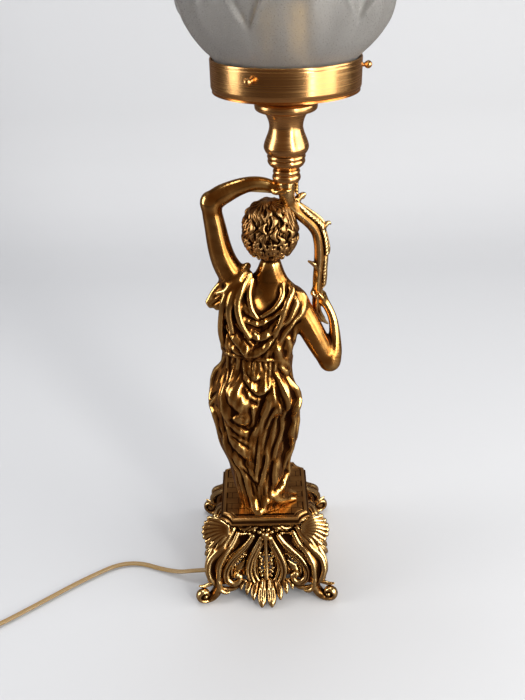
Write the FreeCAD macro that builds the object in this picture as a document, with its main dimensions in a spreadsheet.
import FreeCAD, Part
import Sketcher
import math
import os
from FreeCAD import Placement, Rotation, Vector

# A figural table lamp: a draped figure on a scroll footed base holds up a branch that carries
# a turned cup, a three screw gallery, a lampholder with its bulb and a tall glass shade.
# The base stands on z = 0 and the figure faces +Y.

# sizes in mm, each its own value
# where the lamp's axes stand
lamp_x = -16
cup_off = 23.2
# base casting and deck plate
deck_top = 84
deck_x = 38
deck_y = 40.3
deck_thick = 3
plinth_thick = 3
plinth_edge = 3
deck_corner = 9
skirt_low = 10
skirt_wall = 4
skirt_roof = 4
skirt_foot_x = 50
skirt_foot_y = 51
skirt_waist = 34
skirt_waist_up = 62
skirt_belly = 41
skirt_belly_up = 36
skirt_round = 12
foot_x = 58
foot_y = 58
foot_scroll = 7.5
foot_wide = 13
foot_flat = 0.7
leg_thick = 5.5
leg_up = 72
leg_top = 46
leg_bow = 71
leg_bow_up = 34
leg_shin = 70
leg_shin_up = 16
shell_reach = 70
shell_wide = 17
shell_thick = 7
wire_hole = 5
bolt_off = 13
bolt_back = -9
drill_deep = 30
overcut = 1
leg_root = 7.5
shell_top_in = 11
shell_end_wide = 9
shell_root_up = 7
shell_tip_drop = 6
shell_taper = 0.7
band_r = 3
band_sink = 0.6
# the draped figure, as stations above the deck: height, centre and half sizes
hem_high = 4
hem_cx = 0
hem_cy = -11
hem_half = 26
hem_deep = 24
calf_high = 32
calf_cx = -6
calf_cy = -7
calf_half = 33
calf_deep = 24
knee_high = 72
knee_cx = -6.5
knee_cy = -4
knee_half = 38.5
knee_deep = 26
thigh_high = 96
thigh_cx = -5
thigh_cy = -3
thigh_half = 41
thigh_deep = 28
hip_high = 124
hip_cx = -5.5
hip_cy = -3
hip_half = 39.5
hip_deep = 28
girdle_high = 150
girdle_cx = -3
girdle_cy = -1
girdle_half = 36
girdle_deep = 24
chest_high = 182
chest_cx = -0.5
chest_cy = 1
chest_half = 32.5
chest_deep = 21
shoulder_high = 210
shoulder_cx = 7
shoulder_cy = 2
shoulder_half = 26
shoulder_deep = 14.5
collar_high = 222
collar_cx = 10
collar_cy = 2
collar_half = 12.5
collar_deep = 9.5
figure_wall = 3
figure_floor = 6
hem_inset = 2
fold_r = 5.2
swag_r = 3.8
fold_sink = 0.8
fold_end = 0.55
# head, arms and branch
neck_r = 7.7
neck_tall = 20
head_up = 41.5
head_wide = 22.3
head_deep = 23
head_tall = 26
head_fwd = 1.5
face_fwd = 11
face_down = 10
face_r = 13
arm_root = 10
arm_elbow = 6.8
arm_wrist = 4.6
fist_r = 8.5
elbow_out = 58.7
elbow_up = 70
forearm_out = 34
forearm_up = 88
low_elbow_out = 51
low_elbow_drop = 66
low_elbow_r = 7
low_wrist = 4.3
low_fist = 7.5
grip_out = 26.3
grip_drop = 10
grip_back = 8
grip_tall = 24
grip_r = 3.8
branch_r = 4.6
branch_tip = 2.6
collar_r = 6.5
collar_tall = 12
cup_up = 94
face_tall = 16
arm_sink = 6
elbow_fwd = 2
forearm_fwd = 4
wrist_gap = 5
wrist_fwd = 3
wrist_rise = 4.5
arm_mid = 7.8
arm_fore = 6.6
arm_low = 5.6
fist_long = 11.5
fist_in = 2
fist_gap = 0.3
low_root_in = 9
low_root_drop = 11
low_elbow_back = 5
low_root = 9.5
low_mid = 8.8
low_joint = 7.3
low_fore = 6.8
low_wrist_drop = 4.5
low_fist_deep = 6.5
low_fist_tall = 8.5
bow_out = 21
bow_fwd = 6
bow_drop = 24
crook_out = 29
crook_drop = 44
branch_mid = 4.3
branch_low = 3.9
joint_step = 0.3
tail_out = 4
tail_fwd = 8
tail_drop = 13
leaf_thick = 3.2
leaf_wide = 4.5
leaf_long = 10
leaf_off = 3
leaf_fwd = 7
# turned cup, gallery, nipple and lampholder
cup_foot = 6.5
cup_bead = 10.7
cup_cove = 9.6
cup_ring = 14
cup_belly = 17
cup_waist = 12.4
cup_neck = 15.6
cup_flange = 23
cup_seat = 20
bead_up = 4
cove_up = 10.5
ring_up = 16.5
crease_up = 20.5
belly_up = 26
waist_up = 41.5
neck_up = 52
flange_up = 54.5
flange_top = 60
cup_tall = 68
ring_r = 54
ring_wall = 1.2
ring_tall = 23
ring_round = 4
nipple_r = 5
nipple_bore = 3.5
nipple_gap = 0.05
nipple_sink = 4
nipple_rise = 6
nut_r = 8.5
nut_thick = 3.6
holder_r = 19.5
holder_base = 15
holder_cap_tall = 16
holder_skirt_tall = 38
holder_wall = 1.6
block_r = 16.5
block_thick = 9
contact_r = 4.5
contact_thick = 3
liner_r = 14.4
liner_wall = 0.8
liner_tall = 24
# bulb, shade and the screws that hold it
bulb_gap = 0.3
cap_tall = 25
cap_tip = 4
cap_rise = 0.3
globe_r = 22.5
globe_neck = 12.2
globe_up = 31
globe_wall = 1
globe_throat = 8
shade_neck = 50
shade_wall = 3
shade_neck_tall = 22
shade_seat = 0.3
shade_belly = 75
shade_belly_up = 62
shade_shoulder = 60
shade_shoulder_up = 150
shade_tip = 5
shade_tall = 232
shade_flare = 45
shade_side = 220
shade_crown = 190
shade_petals = 6
shade_petal_deep = 5
shade_petal_turn = -21.4
shade_hollow_top = 0.95
screw_r = 1.5
screw_gap = 0.3
screw_out = 4.9
screw_ball = 2.75
screw_up = 15
screw_turn = -27
# fixings under the deck
bolt_r = 2.5
bolt_fit = 0.05
bolt_head = 4.2
bolt_head_tall = 4
washer_r = 6
washer_thick = 1.2
bolt_short = 0.5
# the cord and what is on it
cord_d = 5
wire_d = 4
wire_fit = 0.5
bush_y = -36
bush_z = 15
bush_r = 4.4
bush_flange = 6.2
bush_lip = 2.4
bush_room = 0.5
coil_out = 36
coil_pitch = 5.6
coil_layer = 5.6
coil_turns = 7.2278
coil_start = 262
coil_x = -402.8
coil_y = -82.7
switch_x = -300
switch_y = -104
switch_long = 55
switch_wide = 21
switch_tall = 14
switch_heading = 193.3
rocker_long = 15
rocker_wide = 8
rocker_gap = 0.35
case_wall = 2
case_screw = 1.4
plug_long = 35
plug_wide = 26
plug_tall = 13.7
plug_mouth = 12
pin_r = 2
pin_long = 19
pin_space = 18.6
plug_x = -437.8
plug_y = -42
bush_long = 16.4
wire_up = 90
switch_corner = 5.9
switch_end = 9
screw_inset = 7
screw_short = 2.4
screw_lift = 0.6
rocker_drop = 4
dish_r = 15
dish_up = 19.65
screw_fit = 0.05
plug_corner = 3
plug_swell = 19.25

os.makedirs("parts", exist_ok=True)
doc = FreeCAD.newDocument("figural_lamp")
sheet = doc.addObject("Spreadsheet::Sheet", "sizes")
values = {name: number for name, number in list(globals().items()) if type(number) in (int, float)}
for row, (name, number) in enumerate(values.items(), 1):
    sheet.set(f"A{row}", name)
    sheet.set(f"B{row}", str(number))
    sheet.setAlias(f"B{row}", name)


def size(name):
    return values[name]


def measure(terms):
    """The value of a sum such as "ring_r - ring_wall", worked out from the sheet."""
    total, sign = 0.0, 1
    for word in str(terms).split():
        if word in "+-":
            sign = 1 if word == "+" else -1
        else:
            total += sign * (float(word) if word[0].isdigit() else size(word))
    return total


def bind(thing, prop, terms):
    """Binds a property to the same sum, as an expression on the sheet."""
    words = [w if w in "+-" or w[0].isdigit() else "sizes." + w for w in str(terms).split()]
    if words[0] == "-":
        words.insert(0, "0")
    thing.setExpression(prop, " ".join(words))


def stand(thing, right="0", back="0", up="0"):
    """Places a piece from the lamp's own axis."""
    bind(thing, "Placement.Base.x", "lamp_x + " + right)
    bind(thing, "Placement.Base.y", back)
    bind(thing, "Placement.Base.z", up)


def plane(body, role):
    return next(f for f in body.Origin.OriginFeatures if f.Role == role)


def pin_point(sketch, item, end, across, up):
    """Ties one vertex of a sketch to its two sizes."""
    for kind, terms, axis in (("DistanceX", across, -2), ("DistanceY", up, -1)):
        if terms == "0":
            sketch.addConstraint(Sketcher.Constraint("PointOnObject", item, end, axis))
            continue
        at = sketch.addConstraint(Sketcher.Constraint(kind, -1, 1, item, end, measure(terms)))
        bind(sketch, f"Constraints[{at}]", terms)


def outline(sketch, points):
    """Draws a closed outline; a third entry is the radius of the arc to the next point,
    which bulges to the right of the way along, or to the left when its sign is minus."""
    count = len(points)
    for number, point in enumerate(points):
        after = points[(number + 1) % count]
        start = Vector(measure(point[0]), measure(point[1]), 0)
        end = Vector(measure(after[0]), measure(after[1]), 0)
        if len(point) < 3:
            sketch.addGeometry(Part.LineSegment(start, end), False)
            continue
        terms = point[2].strip("-")
        side = -1 if point[2].startswith("-") else 1
        middle, along = (start + end) / 2, end - start
        radius, half = measure(terms), along.Length / 2
        normal = Vector(along.y, -along.x, 0).normalize() * side
        sag = radius - math.sqrt(radius * radius - half * half)
        sketch.addGeometry(Part.Arc(start, middle + normal * sag, end), False)
    for number in range(count):
        after = (number + 1) % count
        first = ends_of(points[number])
        second = ends_of(points[after])
        sketch.addConstraint(Sketcher.Constraint("Coincident", number, first[1], after, second[0]))
    for number, point in enumerate(points):
        pin_point(sketch, number, ends_of(point)[0], point[0], point[1])
        if len(point) == 3:
            terms = point[2].strip("-")
            at = sketch.addConstraint(Sketcher.Constraint("Radius", number, measure(terms)))
            bind(sketch, f"Constraints[{at}]", terms)


def ends_of(point):
    """Which vertex numbers start and end an item: arcs run anticlockwise in a sketch."""
    if len(point) == 3 and point[2].startswith("-"):
        return 2, 1
    return 1, 2


def new_body(name):
    body = doc.addObject("PartDesign::Body", name)
    body.Label = name
    return body


def new_sketch(body, role, name):
    sketch = body.newObject("Sketcher::SketchObject", name)
    sketch.AttachmentSupport = [(plane(body, role), "")]
    sketch.MapMode = "FlatFace"
    return sketch


def turned(name, points):
    """A piece of revolution about its own Z axis, from (radius, height) points."""
    body = new_body(name)
    sketch = new_sketch(body, "XZ_Plane", name + "_profile")
    outline(sketch, points)
    spin = body.newObject("PartDesign::Revolution", name + "_spin")
    spin.Profile = sketch
    spin.ReferenceAxis = (sketch, ["V_Axis"])
    spin.Angle = 360
    sketch.Visibility = False
    return body


def shaped(name, shape):
    piece = doc.addObject("Part::Feature", name)
    piece.Shape = shape
    piece.Label = name
    return piece


def rod(radius, length, foot, way=Vector(0, 0, 1)):
    return Part.makeCylinder(radius, length, foot, way)


def egg(half_x, half_y, half_z, centre):
    ball = Part.makeSphere(1.0)
    scale = FreeCAD.Matrix()
    scale.scale(half_x, half_y, half_z)
    grown = ball.transformGeometry(scale)
    grown.translate(centre)
    return grown


# ---- paths: straight runs joined by tangent arcs


def bent_path(points, shares=None):
    """A wire of straight runs with one arc at each corner. An arc's radius is a share of the
    shorter run beside it over the tangent of half the turn, 0.45 unless shares says less."""
    edges, radii, last = [], [], points[0]
    for number in range(1, len(points) - 1):
        back, here, on = points[number - 1], points[number], points[number + 1]
        inward, outward = (here - back), (on - here)
        share = (shares or {}).get(number, 0.45)
        reach = share * min(inward.Length, outward.Length)
        inward.normalize()
        outward.normalize()
        half_turn = inward.getAngle(outward) / 2
        radius = reach / math.tan(half_turn)
        radii.append(round(radius, 1))
        start, end = here - inward * reach, here + outward * reach
        middle = (start + end) / 2
        towards = (here - middle).normalize()
        sag = radius * (1 - math.cos(half_turn))
        if (start - last).Length > 0.001:
            edges.append(Part.LineSegment(last, start).toShape())
        edges.append(Part.Arc(start, middle + towards * sag, end).toShape())
        last = end
    edges.append(Part.LineSegment(last, points[-1]).toShape())
    return Part.Wire(edges), radii


def tube(path, radius):
    start = path.Edges[0]
    way = start.tangentAt(start.FirstParameter)
    ring = Part.Wire([Part.Circle(start.valueAt(start.FirstParameter), way, radius).toShape()])
    return path.makePipeShell([ring], True, False)


def checked_tube(name, points):
    """A free stretch of cord, with its arcs' radii and its volume against section times length."""
    path, radii = bent_path(points)
    solid = tube(path, size("cord_d") / 2)
    ideal = math.pi * size("cord_d") ** 2 / 4 * path.Length
    print(f"{name}: length {path.Length:.1f}, radii {radii}, volume ratio {solid.Volume / ideal:.4f}")
    return shaped(name, solid)


def limb(path, stations):
    """A tapering limb along a path: (share of the length, radius) stations, capped flat."""
    rings = []
    lengths = [edge.Length for edge in path.Edges]
    for share, radius in stations:
        left = share * sum(lengths)
        for edge, length in zip(path.Edges, lengths):
            if left <= length + 1e-6:
                break
            left -= length
        at = edge.getParameterByLength(min(left, length))
        circle = Part.Circle(edge.valueAt(at), edge.tangentAt(at), radius)
        rings.append(Part.Wire([circle.toShape()]))
    return Part.makeLoft(rings, True, False)


# ---- base casting and deck

deck_under = size("deck_top") - size("deck_thick") - size("plinth_thick")


def round_box(half_x, half_y, up, corner):
    """A rectangle with round corners, as one wire at a height."""
    corners = [(half_x, half_y, 0), (-half_x, half_y, 90), (-half_x, -half_y, 180), (half_x, -half_y, 270)]
    edges, ends = [], []
    for x, y, turn in corners:
        centre = Vector(x - math.copysign(corner, x), y - math.copysign(corner, y), up)
        ways = [math.radians(turn + a) for a in (0, 45, 90)]
        arc_at = [centre + Vector(math.cos(way), math.sin(way), 0) * corner for way in ways]
        ends.append((arc_at[0], arc_at[2]))
        edges.append(Part.Arc(*arc_at).toShape())
    sides = [Part.LineSegment(ends[i][1], ends[(i + 1) % 4][0]).toShape() for i in range(4)]
    return Part.Wire([edge for pair in zip(edges, sides) for edge in pair])


def skirt(inset, low, high):
    """The skirt's loft, drawn in by a wall for its hollow."""
    levels = [(low, size("skirt_foot_x"), size("skirt_foot_y")),
              (size("skirt_belly_up"), size("skirt_belly"), size("skirt_belly")),
              (size("skirt_waist_up"), size("skirt_waist"), size("skirt_waist")),
              (high, size("deck_x") - size("plinth_edge"), size("deck_y") - size("plinth_edge"))]
    rings = [round_box(x - inset, y - inset, up, size("skirt_round") - inset) for up, x, y in levels]
    return Part.makeLoft(rings, True, True)


def scroll_foot(side_x, side_y):
    """One leg that curls out to a round scroll with a flat underneath."""
    radius, wide = size("foot_scroll"), size("foot_wide")
    heel = Vector(side_x * size("foot_x"), side_y * size("foot_y"), radius - size("foot_flat"))
    outward = Vector(side_x, side_y, 0).normalize()
    across = Vector(-outward.y, outward.x, 0)
    scroll = rod(radius, wide, heel - across * (wide / 2), across)
    top, bow, shin = (outward * size(out) + Vector(0, 0, size(up)) for out, up in (
        ("leg_top", "leg_up"), ("leg_bow", "leg_bow_up"), ("leg_shin", "leg_shin_up")))
    path, radii = bent_path([top, bow, shin, heel])
    leg = limb(path, [(0, size("leg_root"))] + [(share / 6, size("leg_thick")) for share in range(1, 7)])
    below = Part.makeBox(4 * wide, 4 * wide, 4 * wide, heel - Vector(2 * wide, 2 * wide, heel.z + 4 * wide))
    return scroll.fuse(leg).cut(below)


def shell_plate(side):
    """The shell that hangs from the skirt's middle, front and back."""
    root_y, low_y = size("skirt_foot_y") - size("skirt_wall"), size("shell_reach") - size("shell_thick")
    rings = []
    for up, y, half in ((size("skirt_belly_up"), root_y - size("shell_top_in"), size("shell_end_wide")),
                        (size("skirt_low") + size("shell_root_up"), root_y, size("shell_wide")),
                        (size("skirt_low") - size("shell_tip_drop"), low_y, size("shell_end_wide"))):
        y_low, y_high = side * y, side * (y + size("shell_thick"))
        top_half = half * size("shell_taper")
        corners = [Vector(-half, y_low, up), Vector(half, y_low, up), Vector(top_half, y_high, up),
                   Vector(-top_half, y_high, up)]
        rings.append(Part.makePolygon(corners + corners[:1]))
    return Part.makeLoft(rings, True, True)


# bands on each side of the skirt, one of a mirrored pair each, as shares of the belly's half width
# and of the height under the plate: the long pair round the middle and the scrolled pair
BANDS = (((0.07, 0.76), (0.4, 0.44), (0.41, 0.28), (0.05, 0.17)),
         ((0.29, 0.79), (0.97, 0.42), (0.93, 0.19), (0.62, 0.19), (0.63, 0.31)))


def skirt_reach(up, foot):
    """How far out a side of the skirt stands at a height."""
    levels = [(size("skirt_low"), foot), (size("skirt_belly_up"), size("skirt_belly")),
              (size("skirt_waist_up"), size("skirt_waist")),
              (deck_under, size("deck_x") - size("plinth_edge"))]
    for (low, near), (high, far) in zip(levels, levels[1:]):
        if up <= high:
            return near + (far - near) * (up - low) / (high - low)
    return far


def band(turn, mirror, shares):
    """A raised band along one side, half sunk in the skirt."""
    foot = size("skirt_foot_y") if turn % 180 == 0 else size("skirt_foot_x")
    points = []
    for across, up in shares:
        height = up * deck_under
        out = skirt_reach(height, foot) + size("band_r") * size("band_sink") / 2
        points.append(Vector(mirror * across * size("skirt_belly"), -out, height))
    path, radii = bent_path(points)
    strip = limb(path, [(share / 8, size("band_r")) for share in range(9)])
    strip.rotate(Vector(0, 0, 0), Vector(0, 0, 1), turn)
    return strip


outer = skirt(0, size("skirt_low"), deck_under)
hollow = skirt(size("skirt_wall"), size("skirt_low") - size("overcut"), deck_under - size("skirt_roof"))
casting = outer
for side_x in (-1, 1):
    for side_y in (-1, 1):
        casting = casting.fuse(scroll_foot(side_x, side_y))
for side in (-1, 1):
    casting = casting.fuse(shell_plate(side))
bands = [band(turn, mirror, shares) for turn in (0, 90, 180, 270) for mirror in (-1, 1) for shares in BANDS]
casting = casting.fuse(bands).cut(hollow)
bolt_spots = [Vector(side * size("bolt_off"), size("bolt_back"), 0) for side in (-1, 1)]
drills = [rod(size("bolt_r") + size("bolt_fit"), 2 * size("drill_deep"),
              spot + Vector(0, 0, deck_under - size("drill_deep"))) for spot in bolt_spots]
drills.append(rod(size("wire_hole"), 2 * size("drill_deep"), Vector(0, 0, deck_under - size("drill_deep"))))
bush_mouth = Vector(-size("skirt_foot_x") - size("drill_deep"), size("bush_y"), size("bush_z"))
casting = casting.cut(Part.makeCompound(drills))
casting = casting.cut(rod(size("bush_r"), 2 * size("drill_deep"), bush_mouth, Vector(1, 0, 0)))
flange_room = size("bush_flange") + size("bush_room")
casting = casting.cut(rod(flange_room, size("drill_deep"), bush_mouth, Vector(1, 0, 0)))
stand(shaped("base_casting", casting.removeSplitter()))

deck = new_body("deck_plate")


def cut_corners(grow):
    """The deck's outline with its four corners cut off."""
    x, y, corner = "deck_x" + grow, "deck_y" + grow, "deck_corner"
    return [(f"{x} - {corner}", "- " + y.replace("+", "-")), (x, f"{corner} - {y.replace('+', '-')}"),
            (x, f"{y} - {corner}"), (f"{x} - {corner}", y), (f"{corner} - {x.replace('+', '-')}", y),
            ("- " + x.replace("+", "-"), f"{y} - {corner}"),
            ("- " + x.replace("+", "-"), f"{corner} - {y.replace('+', '-')}"),
            (f"{corner} - {x.replace('+', '-')}", "- " + y.replace("+", "-"))]


for name, grow, thick in (("plinth", " + plinth_edge", "plinth_thick"),
                          ("deck", "", "plinth_thick + deck_thick")):
    sketch = new_sketch(deck, "XY_Plane", name + "_outline")
    outline(sketch, cut_corners(grow))
    pad = deck.newObject("PartDesign::Pad", name + "_pad")
    pad.Profile = sketch
    bind(pad, "Length", thick)
    sketch.Visibility = False
doc.recompute()
holes = new_sketch(deck, "XY_Plane", "deck_holes")
for number, (across, back, radius) in enumerate((("bolt_off", "bolt_back", "bolt_r + bolt_fit"),
                                                 ("- bolt_off", "bolt_back", "bolt_r + bolt_fit"),
                                                 ("0", "0", "wire_hole"))):
    centre = Vector(measure(across), measure(back), 0)
    holes.addGeometry(Part.Circle(centre, Vector(0, 0, 1), measure(radius)), False)
    pin_point(holes, number, 3, across, back)
    at = holes.addConstraint(Sketcher.Constraint("Radius", number, measure(radius)))
    bind(holes, f"Constraints[{at}]", radius)
cut = deck.newObject("PartDesign::Pocket", "deck_holes_cut")
cut.Profile = holes
cut.Type = "ThroughAll"
cut.Reversed = True
stand(deck, up="deck_top - deck_thick - plinth_thick")

# ---- the figure

STATIONS = ("hem", "calf", "knee", "thigh", "hip", "girdle", "chest", "shoulder", "collar")


def station(name, inset=0.0, up=None):
    """One oval section through the figure."""
    height = deck_top + size(name + "_high") if up is None else up
    centre = Vector(size(name + "_cx"), size(name + "_cy"), height)
    half, deep = size(name + "_half") - inset, size(name + "_deep") - inset
    oval = Part.Ellipse(centre + Vector(half, 0, 0), centre + Vector(0, deep, 0), centre)
    return Part.Wire([oval.toShape()])


figure_outer = Part.makeLoft([station("hem", size("hem_inset"), deck_top)]
                             + [station(name) for name in STATIONS], True, True)

# the main folds of the dress: which radius, then points as (degrees round from the middle of the back
# towards +X, share of the height from the hem to the collar)
FOLDS = (
    ("swag_r", ((-62, 0.85), (-24, 0.765), (8, 0.745), (38, 0.81), (62, 0.88))),
    ("fold_r", ((-60, 0.72), (-38, 0.6), (-10, 0.485))),
    ("fold_r", ((-62, 0.63), (-44, 0.47), (-10, 0.375))),
    ("fold_r", ((-52, 0.48), (-36, 0.34), (-6, 0.25))),
    ("fold_r", ((30, 0.64), (8, 0.46), (-8, 0.37))),
    ("fold_r", ((40, 0.68), (50, 0.5), (40, 0.3))),
    ("fold_r", ((62, 0.65), (70, 0.5), (66, 0.36), (72, 0.2))),
    ("fold_r", ((-76, 0.7), (-92, 0.58), (-76, 0.44), (-66, 0.3))),
    ("fold_r", ((-46, 0.29), (-29, 0.15), (-20, 0.05))),
    ("fold_r", ((28, 0.3), (12, 0.17), (-2, 0.06))),
    ("fold_r", ((60, 0.2), (46, 0.12), (36, 0.05))),
    ("fold_r", ((94, 0.66), (99, 0.4), (96, 0.1))),
    ("fold_r", ((-104, 0.68), (-112, 0.4), (-98, 0.1))),
    ("fold_r", ((118, 0.68), (128, 0.38), (144, 0.06))),
    ("fold_r", ((142, 0.68), (156, 0.42), (171, 0.06))),
    ("fold_r", ((168, 0.66), (190, 0.5), (214, 0.38))),
    ("fold_r", ((226, 0.48), (216, 0.26), (208, 0.06))),
    ("swag_r", ((118, 0.88), (150, 0.8), (182, 0.775), (214, 0.8), (242, 0.88))))


def on_dress(angle, share):
    """A point on the figure's skin, and the way out of it."""
    up = share * size("collar_high")
    low, high = next(pair for pair in zip(STATIONS, STATIONS[1:]) if up <= size(pair[1] + "_high"))
    part = (up - size(low + "_high")) / (size(high + "_high") - size(low + "_high"))
    centre_x, centre_y, half, deep = (size(low + end) + part * (size(high + end) - size(low + end))
                                      for end in ("_cx", "_cy", "_half", "_deep"))
    turn = math.radians(angle)
    reach = 1 / math.hypot(math.sin(turn) / half, math.cos(turn) / deep)
    out = Vector(math.sin(turn), -math.cos(turn), 0)
    return Vector(centre_x, centre_y, deck_top + up) + out * reach, out


def fold(radius, spots):
    """A rounded fold of cloth that follows the figure's skin and tapers at both ends."""
    points = []
    for before, after in zip(spots, spots[1:]):
        for part in (0, 0.5):
            skin, out = on_dress(*(a + part * (b - a) for a, b in zip(before, after)))
            points.append(skin - out * size("fold_sink"))
    skin, out = on_dress(*spots[-1])
    points.append(skin - out * size("fold_sink"))
    path, radii = bent_path(points)
    thick = size(radius)
    return limb(path, [(0, thick * size("fold_end"))] + [(share / 8, thick) for share in range(1, 8)]
                + [(1, thick * size("fold_end"))])


figure_outer = figure_outer.fuse([fold(radius, spots) for radius, spots in FOLDS])
figure_hollow = Part.makeLoft([station("hem", size("hem_inset") + size("figure_wall"),
                                     deck_top + size("figure_floor"))]
                              + [station(name, size("figure_wall")) for name in STATIONS[1:-2]]
                              + [station("shoulder", 2 * size("figure_wall"))], True, True)
shoulder = Vector(size("shoulder_cx"), size("shoulder_cy"), deck_top + size("shoulder_high"))
collar_top = deck_top + size("collar_high")
cup_foot_z = shoulder.z + size("cup_up")
cup_axis = Vector(size("cup_off"), 0, 0)

# the raised arm's middle line, which its bore and the wire inside it share
root_up = shoulder - Vector(size("shoulder_half") - size("arm_sink"), 0, size("arm_sink"))
elbow = Vector(size("cup_off") - size("elbow_out"), size("elbow_fwd"), shoulder.z + size("elbow_up"))
forearm = Vector(size("cup_off") - size("forearm_out"), size("forearm_fwd"), shoulder.z + size("forearm_up"))
wrist = Vector(size("cup_off") - size("fist_r") - size("wrist_gap"), size("wrist_fwd"),
               cup_foot_z - size("collar_tall") + size("wrist_rise"))
arm_path, arm_radii = bent_path([root_up, elbow, forearm, wrist], {1: 0.28, 2: 0.45})
arm = limb(arm_path, [(0, size("arm_root")), (0.28, size("arm_mid")), (0.5, size("arm_elbow")),
                      (0.66, size("arm_fore")), (0.84, size("arm_low")), (1, size("arm_wrist"))])
fist_centre = Vector(size("cup_off") - size("fist_in"), size("fist_in"), cup_foot_z - size("collar_tall") / 2)
fist = egg(size("fist_long"), size("fist_r"), size("collar_tall") / 2 - size("fist_gap"), fist_centre)

wire_up_point = Vector(-1, 0, deck_top + size("wire_up"))
collar_core = rod(size("collar_r") + size("nipple_gap"), size("collar_tall") + 2 * size("drill_deep"),
                  Vector(size("cup_off"), 0, cup_foot_z - size("collar_tall") - size("drill_deep")))

# the lowered arm
grip = Vector(size("cup_off") + size("grip_out"), size("grip_back"), shoulder.z - size("grip_drop"))
root_low = shoulder + Vector(size("shoulder_half") - size("low_root_in"), 0, -size("low_root_drop"))
low_elbow = shoulder + Vector(size("low_elbow_out"), -size("low_elbow_back"), -size("low_elbow_drop"))
low_wrist = grip - Vector(0, 0, size("low_wrist_drop"))
upper_run = Part.Wire([Part.LineSegment(root_low, low_elbow).toShape()])
lower_run = Part.Wire([Part.LineSegment(low_elbow, low_wrist).toShape()])
low_arm = limb(upper_run, [(0, size("low_root")), (0.45, size("low_mid")), (1, size("low_elbow_r"))])
low_arm = low_arm.fuse(Part.makeSphere(size("low_joint"), low_elbow))
low_arm = low_arm.fuse(limb(lower_run, [(0, size("low_elbow_r")), (0.4, size("low_fore")),
                                        (1, size("low_wrist"))]))
low_fist = egg(size("low_fist"), size("low_fist_deep"), size("low_fist_tall"), grip)
grip_core = rod(size("grip_r") + size("nipple_gap"), 3 * size("drill_deep"),
                grip - Vector(0, 0, 1.5 * size("drill_deep")))

# the branch: a stout curved stem from the cup's foot to the lowered hand
axis_low = Vector(size("cup_off"), 0, cup_foot_z - size("collar_tall"))
grip_top = grip + Vector(0, 0, size("grip_tall") / 2)
bow = [axis_low + Vector(0, 0, 2), axis_low + Vector(2, 2, -6),
       axis_low + Vector(size("bow_out"), size("bow_fwd"), -size("bow_drop")),
       axis_low + Vector(size("crook_out"), size("grip_back"), -size("crook_drop")),
       grip_top + Vector(1.6, 0, 10), grip_top - Vector(0, 0, 1)]
bow_path, bow_radii = bent_path(bow)
branch = limb(bow_path, [(0, size("branch_r")), (0.3, size("branch_r")), (0.6, size("branch_mid")),
                         (0.85, size("branch_low")), (1, size("grip_r") - size("joint_step"))])
branch = branch.fuse(rod(size("collar_r"), size("collar_tall"), axis_low))
branch = branch.fuse(rod(size("grip_r"), size("grip_tall"), grip_top - Vector(0, 0, size("grip_tall"))))
tail_foot = grip_top - Vector(0, 0, size("grip_tall"))
tail_end = tail_foot + Vector(size("tail_out"), size("tail_fwd"), -size("tail_drop"))
tail_path, tail_radii = bent_path([tail_foot + Vector(0, 0, 2), tail_foot + Vector(1, 0, -5), tail_end])
branch = branch.fuse(limb(tail_path, [(0, size("grip_r") - size("joint_step")), (0.5, size("grip_r")),
                                      (1, size("branch_tip"))]))
for out, drop, lean in ((14, 12, 55), (27, 30, 20), (26, 47, 5)):
    leaf = egg(size("leaf_thick"), size("leaf_wide"), size("leaf_long"), Vector(0, 0, 0))
    leaf.rotate(Vector(0, 0, 0), Vector(0, 1, 0), -lean)
    leaf.translate(axis_low + Vector(out + size("leaf_off"), size("leaf_fwd"), -drop))
    branch = branch.fuse(leaf)
nipple_room = rod(size("nipple_r") + size("nipple_gap"), size("nipple_sink") + size("joint_step"),
                  Vector(size("cup_off"), 0, cup_foot_z - size("nipple_sink") - size("joint_step")))
holder_foot = cup_foot_z + size("cup_tall") + size("ring_wall") + size("nut_thick")
wire_end = Vector(size("cup_off"), 0, holder_foot + size("holder_cap_tall") - size("block_thick"))
inner_turn = Vector(size("cup_off"), 0, cup_foot_z - size("nipple_sink") - 5)
wire_points = [Vector(0, 0, 30), wire_up_point, root_up, elbow, forearm, wrist, inner_turn, wire_end]
wire_shares = {3: 0.28, 5: 0.3, 6: 0.42}
arm_bore_path, bore_radii = bent_path(wire_points, wire_shares)
bore = tube(arm_bore_path, size("wire_d") / 2 + size("wire_fit"))
print("limb radii", arm_radii, bow_radii, tail_radii, bore_radii)

figure = figure_outer.cut(figure_hollow).cut(bore)
threads = [rod(size("bolt_r") + size("bolt_fit"), 2 * size("drill_deep"),
               spot + Vector(0, 0, deck_top - size("drill_deep"))) for spot in bolt_spots]
threads.append(rod(size("wire_hole"), 2 * size("drill_deep"), Vector(0, 0, deck_top - size("drill_deep"))))
stand(shaped("figure_body", figure.cut(Part.makeCompound(threads))))
raised = arm.fuse(fist).cut(figure_outer).cut(collar_core).cut(bore)
stand(shaped("raised_arm", max(raised.Solids, key=lambda solid: solid.Volume)))
lowered = low_arm.fuse(low_fist).cut(figure_outer).cut(grip_core).cut(branch)
stand(shaped("lowered_arm", max(lowered.Solids, key=lambda solid: solid.Volume)))
stand(shaped("branch_stem", branch.cut(nipple_room).cut(bore)))

skull = Vector(size("collar_cx"), size("collar_cy") + size("head_fwd"), collar_top + size("head_up"))
head = egg(size("head_wide"), size("head_deep"), size("head_tall"), skull)
face = skull + Vector(0, size("face_fwd"), -size("face_down"))
head = head.fuse(egg(size("face_r"), size("face_r"), size("face_tall"), face))
neck = rod(size("neck_r"), size("neck_tall"), Vector(size("collar_cx"), size("collar_cy"), collar_top))
stand(shaped("head", head.fuse(neck)))

# ---- turned cup, gallery and nipple

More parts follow.
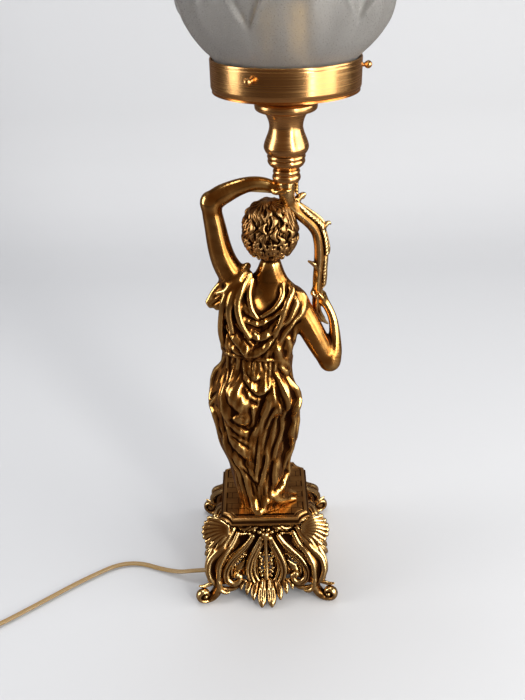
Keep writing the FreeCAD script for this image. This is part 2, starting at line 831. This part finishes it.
cup = turned("turned_cup", [
    ("nipple_r + nipple_gap", "0"), ("cup_foot", "0"), ("cup_bead", "bead_up", "bead_up"),
    ("cup_cove", "cove_up"), ("cup_ring", "ring_up"), ("cup_ring", "crease_up", "belly_up"),
    ("cup_belly", "belly_up"), ("cup_waist", "waist_up"), ("cup_neck", "neck_up"), ("cup_flange", "flange_up"),
    ("cup_flange", "flange_top"), ("cup_seat", "flange_top"), ("cup_seat", "cup_tall"),
    ("nipple_r + nipple_gap", "cup_tall")])
CUP_FOOT = "deck_top + shoulder_high + cup_up"
stand(cup, "cup_off", up=CUP_FOOT)

gallery = turned("gallery", [
    ("nipple_r + nipple_gap", "0"), ("ring_r - ring_round", "0", "ring_round"), ("ring_r", "ring_round"),
    ("ring_r", "ring_tall"), ("ring_r - ring_wall", "ring_tall"),
    ("ring_r - ring_wall", "ring_round", "-ring_round"),
    ("ring_r - ring_wall - ring_round", "ring_wall"), ("nipple_r + nipple_gap", "ring_wall")])
gallery.Label = "gallery_blank"
drilled = doc.addObject("Part::Cut", "gallery")
taps = []
for number in range(3):
    tap = doc.addObject("Part::Cylinder", f"screw_tap_{number + 1}")
    bind(tap, "Radius", "screw_r + nipple_gap")
    bind(tap, "Height", "ring_r + ring_wall")
    bind(tap, "Placement.Base.z", "screw_up")
    turn = size("screw_turn") + 120 * number
    tap.Placement.Rotation = Rotation(Vector(0, 0, 1), Vector(math.sin(math.radians(turn)),
                                                              -math.cos(math.radians(turn)), 0))
    taps.append(tap)
tap_set = doc.addObject("Part::MultiFuse", "screw_taps")
tap_set.Shapes = taps
drilled.Base, drilled.Tool = gallery, tap_set
drilled.Label = "gallery"
RING_FOOT = CUP_FOOT + " + cup_tall"
stand(drilled, "cup_off", up=RING_FOOT)

nipple = turned("threaded_nipple", [
    ("nipple_bore", "0"), ("nipple_r", "0"),
    ("nipple_r", "nipple_sink + cup_tall + ring_wall + nipple_rise"),
    ("nipple_bore", "nipple_sink + cup_tall + ring_wall + nipple_rise")])
stand(nipple, "cup_off", up=CUP_FOOT + " - nipple_sink")
nut = turned("gallery_nut", [("nipple_r + nipple_gap", "0"), ("nut_r", "0"), ("nut_r", "nut_thick"),
                             ("nipple_r + nipple_gap", "nut_thick")])
stand(nut, "cup_off", up=RING_FOOT + " + ring_wall")

# ---- lampholder and bulb

HOLDER = RING_FOOT + " + ring_wall + nut_thick"
holder_cap = turned("holder_cap", [
    ("nipple_r + nipple_gap", "0"), ("holder_base", "0"), ("holder_r", "holder_r - holder_base"),
    ("holder_r", "holder_cap_tall"), ("holder_r - holder_wall", "holder_cap_tall"),
    ("holder_r - holder_wall", "holder_r - holder_base + holder_wall"),
    ("holder_base - holder_wall", "holder_wall"), ("nipple_r + nipple_gap", "holder_wall")])
stand(holder_cap, "cup_off", up=HOLDER)
holder_skirt = turned("holder_skirt", [
    ("liner_r + holder_wall", "holder_cap_tall"), ("holder_r", "holder_cap_tall"),
    ("holder_r", "holder_cap_tall + holder_skirt_tall"),
    ("liner_r", "holder_cap_tall + holder_skirt_tall"),
    ("liner_r", "holder_cap_tall + holder_skirt_tall - holder_wall"),
    ("liner_r + holder_wall", "holder_cap_tall + holder_skirt_tall - holder_wall")])
stand(holder_skirt, "cup_off", up=HOLDER)
block = turned("terminal_block", [("0", "0"), ("block_r", "0"), ("block_r", "block_thick"),
                                  ("0", "block_thick")])
BLOCK = HOLDER + " + holder_cap_tall - block_thick"
stand(block, "cup_off", up=BLOCK)
contact = turned("centre_contact", [("0", "0"), ("contact_r", "0"), ("contact_r", "contact_thick"),
                                    ("0", "contact_thick")])
stand(contact, "cup_off", up=BLOCK + " + block_thick")
liner = turned("threaded_liner", [("liner_r - liner_wall", "0"), ("liner_r", "0"), ("liner_r", "liner_tall"),
                                  ("liner_r - liner_wall", "liner_tall")])
stand(liner, "cup_off", up=BLOCK + " + block_thick")
BULB = BLOCK + " + block_thick + contact_thick + cap_rise"
bulb_cap = turned("bulb_cap", [
    ("0", "0"), ("cap_tip", "0"), ("liner_r - liner_wall - bulb_gap", "cap_tip"),
    ("liner_r - liner_wall - bulb_gap", "cap_tall"), ("0", "cap_tall")])
stand(bulb_cap, "cup_off", up=BULB)
globe = turned("bulb_glass", [
    ("globe_neck - globe_wall", "0"), ("globe_neck", "0"), ("globe_neck", "globe_throat"),
    ("globe_r", "globe_up", "globe_r"),
    ("0", "globe_up + globe_r"), ("0", "globe_up + globe_r - globe_wall", "-globe_r - globe_wall"),
    ("globe_r - globe_wall", "globe_up"), ("globe_neck - globe_wall", "globe_throat")])
stand(globe, "cup_off", up=BULB + " + cap_tall")

# ---- glass shade and its three screws

def arc_reach(low, high, bend, up):
    """The radius at a height on an arc that bulges outwards between two (radius, height) ends."""
    start, end = Vector(low[0], low[1], 0), Vector(high[0], high[1], 0)
    along = end - start
    inward = Vector(-along.y, along.x, 0).normalize()
    centre = (start + end) / 2 + inward * math.sqrt(bend * bend - (along.Length / 2) ** 2)
    return centre.x + math.sqrt(bend * bend - (up - centre.y) ** 2)


def petal_ring(up, inset, share=0.0):
    """One ring of the shade at a height, with its petals' crests and valleys. share is how far up
    from the neck to the tip it is."""
    neck, belly, shoulder, tip = ((size("shade_" + name), size("shade_" + height)) for name, height in (
        ("neck", "neck_tall"), ("belly", "belly_up"), ("shoulder", "shoulder_up"), ("tip", "tall")))
    low, high, bend = (neck, belly, "flare") if up <= belly[1] else (
        (belly, shoulder, "side") if up <= shoulder[1] else (shoulder, tip, "crown"))
    reach = neck[0] if share == 0 else arc_reach(low, high, size("shade_" + bend), up)
    deep = size("shade_petal_deep") * math.sin(math.pi * share ** 0.6)
    steps = 4 * int(size("shade_petals"))
    points = []
    for number in range(steps):
        turn = math.radians(size("shade_petal_turn") + 360 * number / steps)
        valley = (1, 0.25, 0, 0.25)[number % 4]
        points.append(Vector(math.sin(turn), -math.cos(turn), 0) * (reach - inset - deep * valley)
                      + Vector(0, 0, up))
    line = Part.BSplineCurve()
    line.interpolate(points, PeriodicFlag=True)
    return Part.Wire([line.toShape()])


def petal_body(inset, foot, top):
    """The shade's outer skin as a solid, or drawn in by a wall its hollow."""
    neck_top, rise = size("shade_neck_tall"), size("shade_tall") - size("shade_neck_tall")
    shares = [0.09, 0.19, 0.32, 0.46, 0.61, 0.76, 0.88, top]
    rings = [petal_ring(neck_top, inset)]
    rings += [petal_ring(neck_top + share * rise, inset, share) for share in shares]
    neck = Part.makeLoft([petal_ring(foot, inset), petal_ring(neck_top, inset)], True, True)
    return neck.fuse(Part.makeLoft(rings, True, False))


shade_hollow = petal_body(size("shade_wall"), -size("overcut"), size("shade_hollow_top"))
shade = shaped("glass_shade", petal_body(0, 0, 1).cut(shade_hollow))
stand(shade, "cup_off", up=RING_FOOT + " + ring_wall + shade_seat")
BALL = "ring_r + screw_out - shade_neck - screw_gap"
screw_start = size("shade_neck") + size("screw_gap")
for number in range(3):
    screw = turned(f"gallery_screw_{number + 1}", [
        ("0", "0"), ("screw_r", "0"), ("screw_r", BALL + " - screw_ball", "screw_ball"),
        ("screw_ball", BALL, "screw_ball"), ("0", BALL + " + screw_ball")])
    turn = math.radians(size("screw_turn") + 120 * number)
    radial = Vector(math.sin(turn), -math.cos(turn), 0)
    foot = Vector(size("lamp_x") + size("cup_off"), 0, measure(RING_FOOT) + size("screw_up"))
    screw.Placement = Placement(foot + radial * screw_start, Rotation(Vector(0, 0, 1), radial))

# ---- fixings under the deck

roof_under = deck_under - size("skirt_roof")
bolts, washers = [], []
for spot in bolt_spots:
    head_top = spot + Vector(0, 0, roof_under - size("washer_thick"))
    shank = deck_top + size("figure_floor") - size("bolt_short") - head_top.z
    head_low = head_top - Vector(0, 0, size("bolt_head_tall"))
    bolt_cap = rod(size("bolt_head"), size("bolt_head_tall"), head_low)
    bolts.append(bolt_cap.fuse(rod(size("bolt_r"), shank, head_top)))
    ring = rod(size("washer_r"), size("washer_thick"), head_top)
    washers.append(ring.cut(rod(size("bolt_r") + size("bolt_fit"), 2 * size("drill_deep"),
                                head_top - Vector(0, 0, size("drill_deep")))))
stand(shaped("figure_bolts", Part.makeCompound([bolt.removeSplitter() for bolt in bolts])))
stand(shaped("bolt_washers", Part.makeCompound(washers)))

# ---- cord bush and the wire inside

bush_face = Vector(-size("skirt_foot_x") - size("bush_lip"), size("bush_y"), size("bush_z"))
bush_end = bush_face + Vector(size("bush_long"), 0, 0)
ACROSS = Vector(1, 0, 0)
bush = rod(size("bush_flange"), size("bush_lip"), bush_face, ACROSS)
bush = bush.fuse(rod(size("bush_r") - size("nipple_gap"), size("bush_long"), bush_face, ACROSS))
bush = bush.cut(rod(size("cord_d") / 2 + size("nipple_gap"), 3 * size("drill_deep"),
                    bush_face - ACROSS * size("drill_deep"), ACROSS))
stand(shaped("cord_bush", bush.removeSplitter()))

under_wire = [bush_end, bush_end + ACROSS * 9, Vector(-6, -3, 34), Vector(-1, 0, 60)]
wire_route, wire_radii = bent_path(under_wire + wire_points[1:],
                                   {number + 3: share for number, share in wire_shares.items()})
print("wire radii", wire_radii)
stand(shaped("internal_wire", tube(wire_route, size("wire_d") / 2)))

# ---- the cord on the table, from the bush to the switch

LIE = size("cord_d") / 2
SWITCH_MID = size("switch_tall") / 2
switch_in = Vector(size("switch_x"), size("switch_y"), SWITCH_MID)
heading = math.radians(size("switch_heading"))
along = Vector(math.cos(heading), math.sin(heading), 0)
lead = [bush_end, Vector(-66, size("bush_y"), size("bush_z")), Vector(-92, -27, LIE), Vector(-139, -8, LIE),
        Vector(-180, -33, LIE), Vector(-222, -66, LIE), Vector(-257, -92, LIE),
        switch_in - along * 19.5 - Vector(0, 0, 0.8), switch_in]
stand(checked_tube("cord_lead", lead))

# ---- the inline switch, drawn along X and turned to the cord's heading

long, wide, tall, wall = size("switch_long"), size("switch_wide"), size("switch_tall"), size("case_wall")
seam = tall / 2
pocket = long - 2 * (wall + size("switch_end"))
rocker_r = size("rocker_long") / 2
rocker_z = tall - size("rocker_drop")


def case_half(low, high):
    half = Part.makeBox(long, wide, high - low, Vector(0, -wide / 2, low))
    upright = [edge for edge in half.Edges if abs(edge.tangentAt(edge.FirstParameter).z) > 0.9]
    half = half.makeFillet(size("switch_corner"), upright)
    corner = Vector((long - pocket) / 2, wall - wide / 2, wall)
    room = Part.makeBox(pocket, wide - 2 * wall, tall - 2 * wall, corner)
    tapped = [rod(size("case_screw") + size("screw_fit"), tall - wall, at - Vector(0, 0, size("overcut")))
              for at in screw_spots]
    return half.cut(room).cut(Part.makeCompound(tapped))


screw_spots = [Vector(long / 2 + side * (long / 2 - size("screw_inset")), 0, 0) for side in (-1, 1)]
upper = case_half(seam, tall)
slot = size("rocker_wide") + 2 * size("rocker_gap")
upper = upper.cut(Part.makeBox(2 * (rocker_r + size("rocker_gap")), slot, tall,
                               Vector(long / 2 - rocker_r - size("rocker_gap"), -slot / 2, seam)))
rocker = rod(rocker_r, size("rocker_wide"), Vector(long / 2, -size("rocker_wide") / 2, rocker_z),
             Vector(0, 1, 0))
dish = rod(size("dish_r"), wide, Vector(long / 2 + rocker_r, -wide / 2, rocker_z + size("dish_up")),
           Vector(0, 1, 0))
rocker = rocker.cut(dish)
screws = [rod(size("case_screw"), tall - wall - size("screw_short"), at + Vector(0, 0, size("screw_lift")))
          for at in screw_spots]
for name, shape in (("switch_lower", case_half(0, seam)), ("switch_upper", upper), ("switch_rocker", rocker),
                    ("switch_screws", Part.makeCompound(screws))):
    piece = shaped(name, shape)
    spot = Vector(size("lamp_x") + switch_in.x, switch_in.y, 0)
    piece.Placement = Placement(spot, Rotation(Vector(0, 0, 1), size("switch_heading")))

# ---- the coil: two layers of loops in one unbroken tube

coil_mid = Vector(size("coil_x"), size("coil_y"), 0)
CLIMB = 0.25


def coil_point(turns):
    """Spirals in on the table, climbs a layer as it reverses, and spirals out on top."""
    half = size("coil_turns") / 2
    off = abs(turns - half)
    inner = size("coil_out") - size("coil_pitch") * half
    radius = inner + size("coil_pitch") * (off if off > CLIMB else off * off / (2 * CLIMB) + CLIMB / 2)
    share = min(max((turns - half + CLIMB) / (2 * CLIMB), 0), 1)
    climb = share * share * (3 - 2 * share)
    angle = math.radians(size("coil_start")) - 2 * math.pi * turns
    return coil_mid + Vector(radius * math.cos(angle), radius * math.sin(angle),
                             LIE + size("coil_layer") * climb)


def heading_at(turns):
    return (coil_point(turns + 0.0005) - coil_point(turns - 0.0005)).normalize()


def biarc(start, start_way, end, end_way):
    """Two tangent arcs between two points with a heading at each."""
    span, ways = end - start, start_way + end_way
    a, b, c = 2 * (start_way.dot(end_way) - 1), -2 * span.dot(ways), span.dot(span)
    reach = c / -b if abs(a) < 1e-9 else (-b - math.sqrt(b * b - 4 * a * c)) / (2 * a)
    first, second = start + start_way * reach, end - end_way * reach
    join = (first + second) / 2
    arcs = []
    for from_point, corner, to_point in ((start, first, join), (join, second, end)):
        middle, half = (from_point + to_point) / 2, (to_point - from_point).Length / 2
        rise = (corner - middle).Length
        sag = half * math.tan(math.atan2(rise, half) / 2)
        arcs.append(Part.Arc(from_point, middle + (corner - middle).normalize() * sag, to_point).toShape())
    return arcs


def level(way):
    return Vector(way.x, way.y, 0).normalize()


steps = [0.0]
while steps[-1] < size("coil_turns") - 0.3:
    steps.append(steps[-1] + 0.25)
steps.append(size("coil_turns"))
knots = [coil_point(turns) for turns in steps]
ways = [heading_at(turns) for turns in steps]
ways[0], ways[-1] = level(ways[0]), level(ways[-1])
coil_in, coil_out = knots[0] - ways[0] * size("cord_d"), knots[-1] + ways[-1] * size("cord_d")
edges = [Part.LineSegment(coil_in, knots[0]).toShape()]
for number in range(len(steps) - 1):
    edges += biarc(knots[number], ways[number], knots[number + 1], ways[number + 1])
edges.append(Part.LineSegment(knots[-1], coil_out).toShape())
coil = tube(Part.Wire(edges), size("cord_d") / 2)
stand(shaped("cord_coil", coil))
samples = [coil_point(number / 200) for number in range(int(size("coil_turns") * 200) + 1)]
gap = min((samples[first] - samples[second]).Length for first in range(0, len(samples), 2)
          for second in range(first + 120, len(samples), 3)) - size("cord_d")
length = sum(edge.Length for edge in edges)
print(f"cord_coil: length {length:.1f}, least gap to itself {gap:.2f} mm")
if gap <= 0.4:
    raise ValueError("the coil's loops lie too close")

# ---- the cord from the switch to the coil and from the coil to the plug

switch_out = switch_in + along * long
tail = [switch_out, switch_out + along * 16 - Vector(0, 0, 0.4), coil_in - ways[0] * 16, coil_in]
stand(checked_tube("cord_tail", tail))
PLUG_MID = size("plug_tall") / 2
plug_in = Vector(size("plug_x"), size("plug_y"), PLUG_MID)
end_run = [coil_out, coil_out + ways[-1] * 11, plug_in - Vector(0, 11, 0), plug_in]
stand(checked_tube("cord_end", end_run))


def plug_slice(back, width, height):
    """One section of the plug's body, with its corners cut."""
    x, z, corner = width / 2, height / 2, size("plug_corner")
    spots = [(-x + corner, -z), (x - corner, -z), (x, -z + corner), (x, z - corner),
             (x - corner, z), (-x + corner, z), (-x, z - corner), (-x, -z + corner)]
    points = [plug_in + Vector(across, back, up) for across, up in spots]
    return Part.makePolygon(points + points[:1])


plug = Part.makeLoft([plug_slice(0, size("plug_mouth"), plug_tall),
                      plug_slice(plug_swell, plug_wide, plug_tall),
                      plug_slice(plug_long, plug_wide, plug_tall)], True, True)
pins = [rod(size("pin_r"), size("pin_long"), plug_in + Vector(side * size("pin_space") / 2, plug_long, 0),
            Vector(0, 1, 0)) for side in (-1, 1)]
stand(shaped("plug_body", plug))
stand(shaped("plug_pins", Part.makeCompound(pins)))

# ---- check every object, then write each piece

HELPERS = {"gallery_blank"}
doc.recompute()
for thing in doc.Objects:
    if "Invalid" in thing.State or "Error" in thing.State:
        raise ValueError(f"{thing.Label} failed: {thing.State}")
pieces = [thing for thing in doc.Objects if thing.Label not in HELPERS
          and (thing.TypeId in ("PartDesign::Body", "Part::Feature", "Part::Cut"))]
for piece in pieces:
    if piece.Shape.isNull() or not piece.Shape.isValid():
        raise ValueError(f"{piece.Label} has no valid shape")
for piece in pieces:
    piece.Shape.exportStep(f"parts/{piece.Label}.step")
    box = piece.Shape.BoundBox
    print(f"{piece.Label}: {len(piece.Shape.Solids)} solids, {piece.Shape.Volume:.0f} mm3, "
          f"x {box.XMin:.1f}..{box.XMax:.1f} y {box.YMin:.1f}..{box.YMax:.1f} z {box.ZMin:.1f}..{box.ZMax:.1f}")
